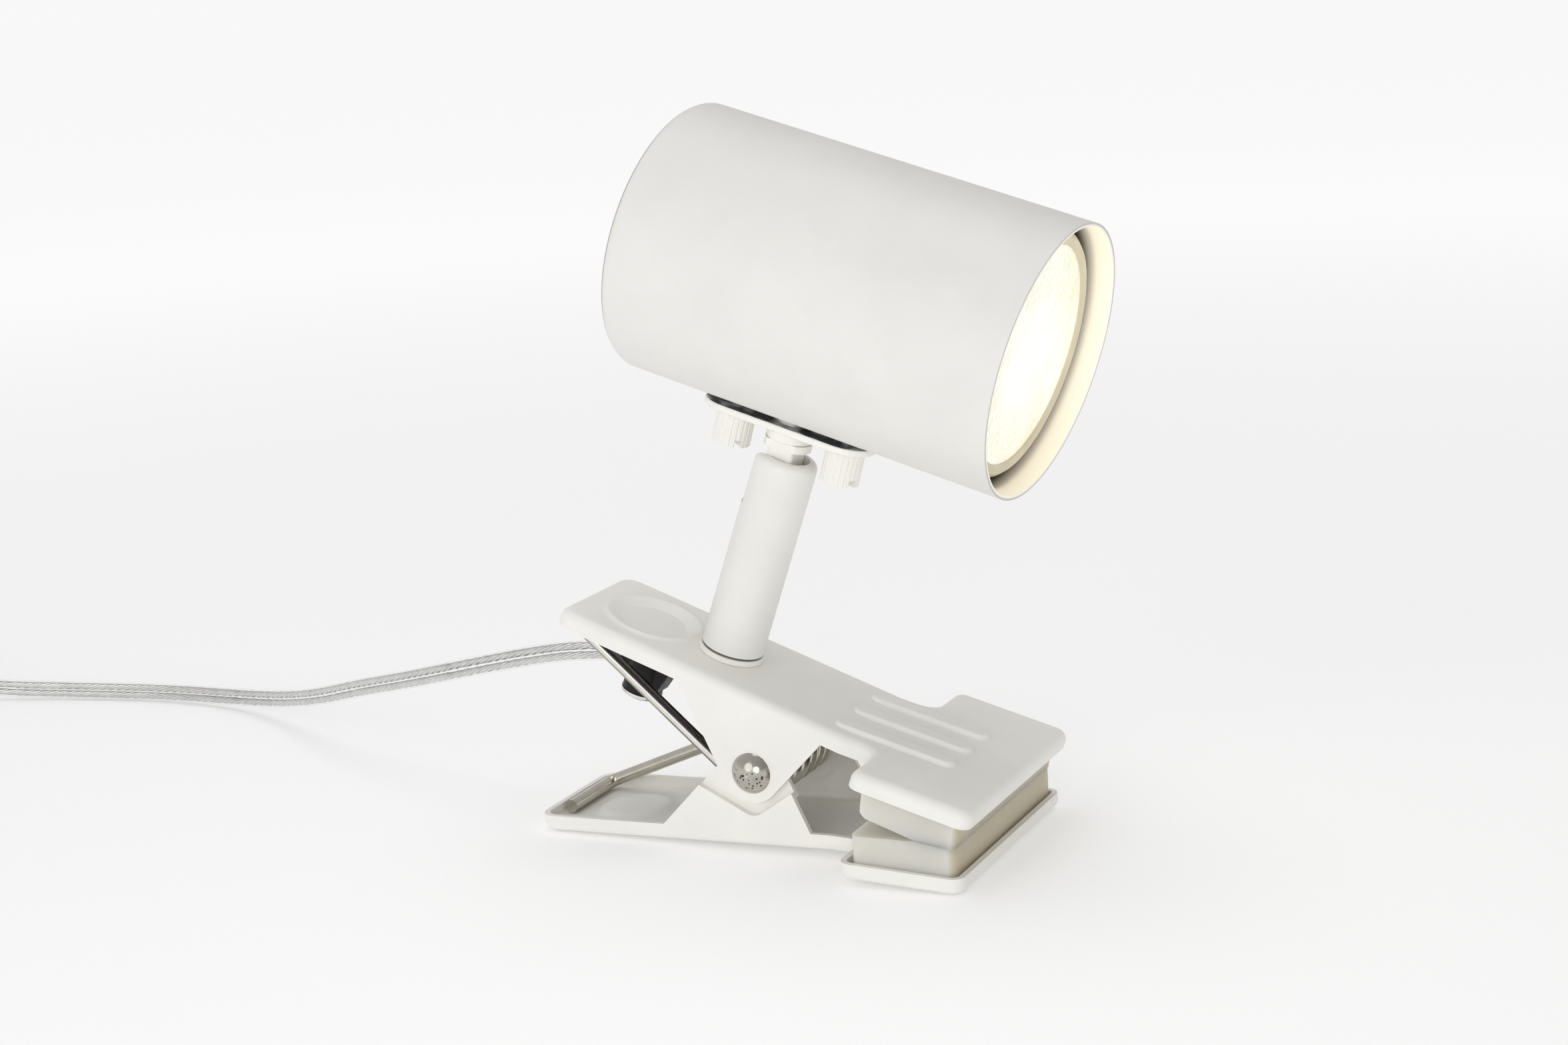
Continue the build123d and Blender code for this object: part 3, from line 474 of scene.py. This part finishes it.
def core_outline(offset):
    """One bunch of tinned strands: a twisted bundle with a lobe for each outer strand."""
    def outline(distance):
        twist = distance / STRAND_LAY * 2 * math.pi
        points = []
        corners = STRANDS * STRAND_CORNERS
        for k in range(corners):
            angle = 2 * math.pi * k / corners
            radius = STRAND_VALLEY + STRAND_HEIGHT * abs(math.cos(STRANDS * angle / 2))
            points.append((
                offset + radius * math.cos(angle + twist),
                radius * math.sin(angle + twist),
            ))
        return points
    return outline


cord_line = spline_line(LEAD + SWITCH + LINK + coil_points() + TAIL)
cord_frames = frames_along(even(cord_line, SECTION_STEP))
cord_jacket = tube_mesh("cord_jacket", cord_frames, jacket_outline)
core_offset = CORD_WIDTH / 2 - CORD_THICKNESS / 2
cord_cores = []
for sign, label in ((1, "upper"), (-1, "lower")):
    core = tube_mesh(f"cord_core_{label}", cord_frames, core_outline(sign * core_offset))
    core.parent = cord_jacket
    cord_cores.append(core)
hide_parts("cord_lead", "cord_link", "cord_coil", "cord_tail")
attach(cord_jacket, "clamp_base")


def jacket_plastic():
    """A clear jacket, nearly unseen where it is looked at squarely."""
    material, tree, shader = new_material("clear_jacket")
    set_inputs(shader, {"Roughness": 0.12})
    drive(shader, "Base Color", ramp(tree, noise(tree, 120, 3), (0.82, 0.83, 0.84), (0.95, 0.95, 0.95)))
    edge_on = add_node(tree, "ShaderNodeLayerWeight")
    set_inputs(edge_on, {"Blend": 0.35})
    drive(shader, "Alpha", ramp(tree, edge_on.outputs["Facing"], 0.03, 0.40, 0.30, 1.0))
    bump(tree, shader, noise(tree, 500, 2), strength=0.08, distance=0.2 * MM)
    return material


cord_jacket.data.materials.append(jacket_plastic())
core_material = metal("tinned_strands", (0.76, 0.755, 0.735), 0.18)
for core in cord_cores:
    core.data.materials.append(core_material)

# ---------------------------------------------------------------- the head's place, for its masks
# The head turns about its joint's axis.  Its shade points square to that axis and a little aside.
HEAD_RISE = 44.9 * MM
HEAD_TURN = math.radians(-3.0)
ACROSS = Vector((0, 1, 0))
head_joint = next(joint for joint in frame["joints"] if joint["name"] == "head_turn")
HEAD_UP = Vector(head_joint["axis"])
HEAD_ORIGIN = Vector(head_joint["pos_m"]) + HEAD_UP * HEAD_RISE
SHADE_AXIS = ACROSS.cross(HEAD_UP) * math.cos(HEAD_TURN) + ACROSS * math.sin(HEAD_TURN)
SHADE_FRONT = 50.45 * MM
SHADE_BACK = -35.45 * MM
SHADE_BORE = 27.2 * MM
PLATE_TOP = -28.8 * MM


def off_axis(tree, from_head):
    """How far a point is from the shade's axis."""
    return vector_math(tree, "LENGTH", vector_math(tree, "CROSS_PRODUCT", from_head, SHADE_AXIS))


# ---------------------------------------------------------------- materials of the CAD nodes
# One white paint in three tones: the clamp's lightest, the stem's between, the shade's darkest; the
# differences are painted light for how each part is lit.
WHITE = (0.86, 0.845, 0.80)


def shade_paint():
    """White outside, ivory inside, grey cut rim; painted shade behind the lamp, a painted lamp glow round
    it.
    """
    material = painted("shade_paint", (0.77, 0.757, 0.725), 0.46)
    tree = material.node_tree
    from_head = object_offset(tree, HEAD_ORIGIN)
    along = vector_math(tree, "DOT_PRODUCT", from_head, SHADE_AXIS)

    def between(start, end):
        """A mask that rises between two distances from the shade's front rim."""
        return rise(tree, along, SHADE_FRONT + start * MM, SHADE_FRONT + end * MM)

    inner_wall = rise(tree, off_axis(tree, from_head), SHADE_BORE + 0.55 * MM, SHADE_BORE + 0.15 * MM)
    off_back = rise(tree, along, SHADE_BACK + 0.5 * MM, SHADE_BACK + 0.9 * MM)
    inside = scalar_math(tree, "MULTIPLY", inner_wall, off_back)
    recolour(material, inside, (0.86, 0.82, 0.71))
    recolour(material, between(-0.10, -0.02), (0.60, 0.59, 0.57))
    # painted shade: the inner wall behind the lamp's front is coloured near black
    painted_shade_behind_lamp = scalar_math(tree, "MULTIPLY", inside, between(-4.6, -7.5))
    recolour(material, painted_shade_behind_lamp, (0.12, 0.10, 0.075))
    # painted light: the inner wall near the lamp glows warm, as if lit by the lamp
    near_lamp = scalar_math(tree, "MULTIPLY", inside, between(-5.0, -3.2))
    glow = combined(tree, (0.0, 0.0, 0.0), (0.38, 0.34, 0.26), factor=near_lamp)
    drive(shader_of(material), "Emission Color", glow)
    set_inputs(shader_of(material), {"Emission Strength": 1.0})
    return material


def bracket_paint():
    """White, but the plate's upper face in the thin gap under the shade is painted near black as painted
    shade, with paler spots as painted glints.
    """
    material = painted("bracket_paint", WHITE, 0.34)
    tree = material.node_tree
    height = vector_math(tree, "DOT_PRODUCT", object_offset(tree, HEAD_ORIGIN), HEAD_UP)
    # painted shade and painted glints on the plate's upper face
    painted_shade_and_glints = ramp(tree, noise(tree, 230, 1), (0.03, 0.032, 0.04), (0.42, 0.42, 0.44), 0.44, 0.58)
    recolour(material, rise(tree, height, PLATE_TOP - 0.08 * MM, PLATE_TOP - 0.03 * MM), painted_shade_and_glints)
    return material


def upper_spring_nickel():
    """Painted reflections on the leg: near black where it faces the jaw's dark underside above, brown
    where it faces the gap below.
    """
    material = metal("spring_nickel", (0.80, 0.78, 0.73), 0.17)
    tree = material.node_tree
    upper_side = facing(tree, (0.62, -0.1, 0.78))
    # painted reflections: the wire's colour goes by which way its surface faces
    recolour(material, rise(tree, upper_side, 0.30, 0.60), (0.07, 0.07, 0.075))
    recolour(material, rise(tree, upper_side, 0.80, 0.95), (0.20, 0.19, 0.17))
    recolour(material, rise(tree, upper_side, -0.10, -0.45), (0.30, 0.26, 0.21))
    return material


def milky_silicone():
    """The pads' front faces are painted darker and browner, as painted shade."""
    material = clear("silicone", (0.70, 0.68, 0.61), 0.38, 0.0, 1.41)
    set_inputs(shader_of(material), {
        "Subsurface Weight": 0.75,
        "Subsurface Radius": (1.0, 0.92, 0.7),
        "Subsurface Scale": 10 * MM,
    })
    front = facing(material.node_tree, (1.0, 0.0, 0.0))
    # painted shade: faces turned towards +X get a darker, browner colour
    recolour(material, rise(material.node_tree, front, 0.25, 1.0), (0.56, 0.49, 0.35))
    return material


def dull_black():
    material = plastic("black_plastic", (0.012, 0.012, 0.013), 0.45)
    set_inputs(shader_of(material), {"Specular IOR Level": 0.22})
    return material


def lit_lens():
    """The lens glows warm white, brightest in the middle, behind rings of small pillow prisms."""
    material, tree, shader = new_material("lit_lens")
    set_inputs(shader, {
        "Base Color": (0.14, 0.135, 0.115, 1),
        "Roughness": 0.18,
        "Emission Strength": 0.86,
    })
    ring_pitch = 1.3 * MM
    from_head = object_offset(tree, HEAD_ORIGIN)
    radius = off_axis(tree, from_head)
    rings = scalar_math(tree, "SINE", scalar_math(tree, "MULTIPLY", radius, 2 * math.pi / ring_pitch))
    middle = rise(tree, radius, 21 * MM, 6 * MM)
    brightness = scalar_math(tree, "MULTIPLY_ADD", middle, 0.22, noise(tree, 70, 3))
    brightness = scalar_math(tree, "MULTIPLY_ADD", rings, 0.045, brightness)
    glow = ramp(tree, brightness, (0.82, 0.78, 0.59), (0.97, 0.96, 0.90), 0.30, 0.78)
    drive(shader, "Emission Color", glow)
    bump(tree, shader, cells(tree, 620, from_head), strength=0.35, distance=0.6 * MM)
    return material


FINISH = {
    painted("satin_paint", WHITE, 0.40): [
        "upper_jaw", "lower_jaw", "stem_collar", "knuckle", "swivel_bushing", "knurled_nuts",
    ],
    # the stem's darker copy of the white paint: painted shade
    painted("stem_paint", (0.80, 0.787, 0.75), 0.42): ["stem_tube"],
    bracket_paint(): ["bracket_plate"],
    shade_paint(): ["shade"],
    milky_silicone(): ["upper_pad", "lower_pad"],
    metal("rivet_nickel", (0.52, 0.49, 0.44), 0.14, pits=0.26): ["pivot_rivet"],
    upper_spring_nickel(): ["spring_upper"],
    # the lower leg: the spring's nickel made darker and browner, as painted shade and painted reflection
    metal("shaded_lower_spring_nickel", (0.62, 0.59, 0.52), 0.17): ["spring_lower"],
    metal("bright_nickel", (0.86, 0.85, 0.82), 0.18): ["plug_pins", "grip_screw"],
    metal("zinc", (0.62, 0.62, 0.60), 0.32): [
        "stem_nipple", "nipple_washer", "nipple_nut", "tilt_pin", "swivel_nut",
        "bracket_studs", "holder_bracket", "holder_screws", "lamp_pins", "switch_screws",
    ],
    plastic("dark_ring", (0.12, 0.12, 0.12), 0.5): ["stem_washer"],
    dull_black(): ["cord_grip"],
    clear("clear_plastic", (0.93, 0.94, 0.93), 0.12, 0.85): ["switch_base", "switch_cover", "plug_body"],
    plastic("white_plastic", (0.82, 0.81, 0.78), 0.3): ["switch_rocker"],
    plastic("ceramic", (0.86, 0.84, 0.78), 0.25): ["lamp_holder"],
    plastic("lead_sleeve", (0.82, 0.79, 0.70), 0.8, 2500, 0.3 * MM): ["holder_leads"],
    plastic("bezel", (0.73, 0.66, 0.50), 0.4): ["lamp_body"],
    lit_lens(): ["lamp_lens"],
}
for material, names in FINISH.items():
    for name in names:
        for material_slot in nodes[name].material_slots:
            material_slot.material = material

# ---------------------------------------------------------------- stage
FLOOR_REACH = 40.0
FLOOR_GAP = 0.2 * MM
FLOOR_NEAR = 0.12
FLOOR_FAR = 1.3
LEFT_STRENGTH = 0.68
RIGHT_STRENGTH = 0.40
HORIZON_STRENGTH = 0.95
HORIZON_FADE = (0.30, 0.04)  # heights of a direction of length 1


def pale_floor():
    """A pale floor that is evenly bright far off, so that it runs into the backdrop."""
    material, tree, shader = new_material("pale_floor")
    set_inputs(shader, {
        "Base Color": (0.93, 0.93, 0.93, 1),
        "Roughness": 0.9,
        "Specular IOR Level": 0.1,
        "Emission Strength": 1.0,
    })
    from_lamp = vector_math(tree, "LENGTH", object_offset(tree, (0, 0, 0)))
    far = rise(tree, from_lamp, FLOOR_NEAR, FLOOR_FAR)
    drive(shader, "Emission Color", combined(tree, (0.18, 0.18, 0.18), (0.42, 0.42, 0.42), factor=far))
    return material


floor_mesh = bpy.data.meshes.new("floor")
floor_shape = bmesh.new()
bmesh.ops.create_grid(floor_shape, x_segments=1, y_segments=1, size=FLOOR_REACH)
floor_shape.to_mesh(floor_mesh)
floor_shape.free()
floor = bpy.data.objects.new("floor", floor_mesh)
floor.location = (0, 0, -FLOOR_GAP)
scene.collection.objects.link(floor)
floor.data.materials.append(pale_floor())


def light_backdrop(tree):
    """White light all round, stronger from the left, and brightest along the horizon."""
    direction = add_node(tree, "ShaderNodeTexCoord")
    axes = add_node(tree, "ShaderNodeSeparateXYZ")
    drive(axes, "Vector", direction.outputs["Generated"])
    from_left = add_node(tree, "ShaderNodeMapRange")
    set_inputs(from_left, {"From Min": -1.0, "To Min": LEFT_STRENGTH, "To Max": RIGHT_STRENGTH})
    drive(from_left, "Value", axes.outputs["X"])
    strength = add_node(tree, "ShaderNodeMix")
    all_round, horizon = MIX_NUMBERS
    drive(strength, all_round, from_left.outputs["Result"])
    set_inputs(strength, {horizon: HORIZON_STRENGTH})
    drive(strength, MIX_FACTOR, rise(tree, axes.outputs["Z"], *HORIZON_FADE))
    set_inputs(tree.nodes["Background"], {"Color": (1.0, 1.0, 1.0, 1)})
    drive(tree.nodes["Background"], "Strength", strength.outputs[MIX_NUMBER])


world = bpy.data.worlds.new("studio")
scene.world = world
world.use_nodes = True
light_backdrop(world.node_tree)


def soft_light(name, at, towards, size, power):
    """A white disc of light that faces a point."""
    light = bpy.data.lights.new(name, "AREA")
    light.shape = "DISK"
    light.size = size
    light.energy = power
    lamp = bpy.data.objects.new(name, light)
    lamp.location = at
    lamp.rotation_euler = (Vector(towards) - Vector(at)).to_track_quat("-Z", "Y").to_euler()
    scene.collection.objects.link(lamp)


soft_light("key", at=(-0.30, -0.95, 0.42), towards=(0, 0, 0.08), size=0.7, power=1.35)
soft_light("fill", at=(0.22, -0.62, 0.17), towards=(0, 0, 0.03), size=0.3, power=0.72)
soft_light("top", at=(0.0, 0.1, 0.9), towards=(0, 0, 0.05), size=0.7, power=1.55)
scene.view_settings.view_transform = "Standard"
